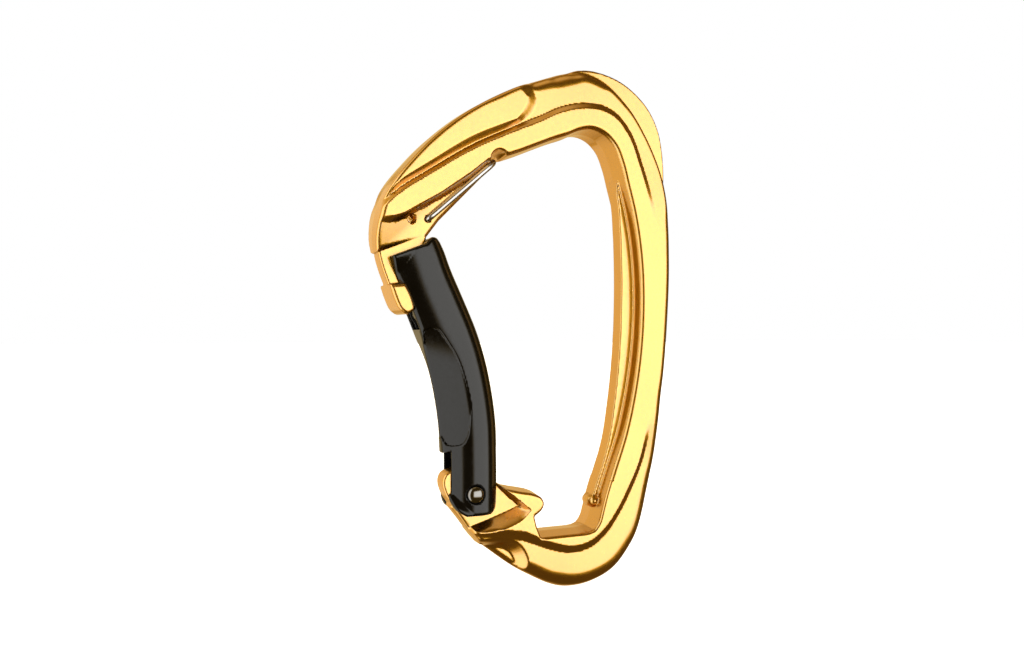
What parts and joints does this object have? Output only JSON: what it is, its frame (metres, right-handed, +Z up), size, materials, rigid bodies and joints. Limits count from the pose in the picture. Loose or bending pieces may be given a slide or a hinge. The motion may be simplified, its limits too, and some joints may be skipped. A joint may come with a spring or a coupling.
{
  "type": "carabiner",
  "caption": "Forged D-shaped climbing carabiner with a sprung bent gate, a keyed nose and a wire keeper under its sling basket arm.",
  "frame": {"origin": "centre of the rope basket, the round seat in the corner between the top arm and the spine, in the mid-plane of the bar", "axes": "+Z up the long way, from the gate's hinge to the basket arm; +X from the gate to the spine; +Y through the thickness of the bar, with the front face on the -Y side"},
  "size_m": [0.0621, 0.0104, 0.1013],
  "materials": {
    "gold_anodised": "glossy anodised, pale gold",
    "black_anodised": "glossy anodised, black",
    "rivet_steel": "satin stainless steel",
    "spring_steel": "drawn spring wire",
    "plunger_steel": "turned steel",
    "keeper_steel": "drawn stainless wire"
  },
  "bodies": {
    "frame": {"body": "gold_anodised"},
    "gate": {"gate": "black_anodised", "hinge_rivet": "rivet_steel", "gate_spring": "spring_steel"},
    "plunger": {"spring_plunger": "plunger_steel"},
    "keeper": {"keeper_wire": "keeper_steel"}
  },
  "joints": [
    {"name": "gate_hinge", "type": "hinge", "parent": "frame", "child": "gate", "pos_m": [-0.0226, 0, -0.0606], "axis": [0, 1, 0], "range_deg": [0, 30], "stiffness_Nm_per_rad": 0.12, "springref_deg": -51.57, "deforming": ["gate_spring"]},
    {"name": "plunger_slide", "type": "slide", "parent": "gate", "child": "plunger", "axis": [-0.0698, 0, 0.9976], "range_m": [0, 0.0011]},
    {"name": "keeper_swing", "type": "hinge", "parent": "frame", "child": "keeper", "pos_m": [-0.031, 0, -0.0103], "axis": [0, 1, 0], "range_deg": [0, 20], "stiffness_Nm_per_rad": 0.01, "springref_deg": -28.65}
  ],
  "couplings": [
    {"joint": "plunger_slide", "follows": "gate_hinge", "m_per_rad": 0.002}
  ]
}
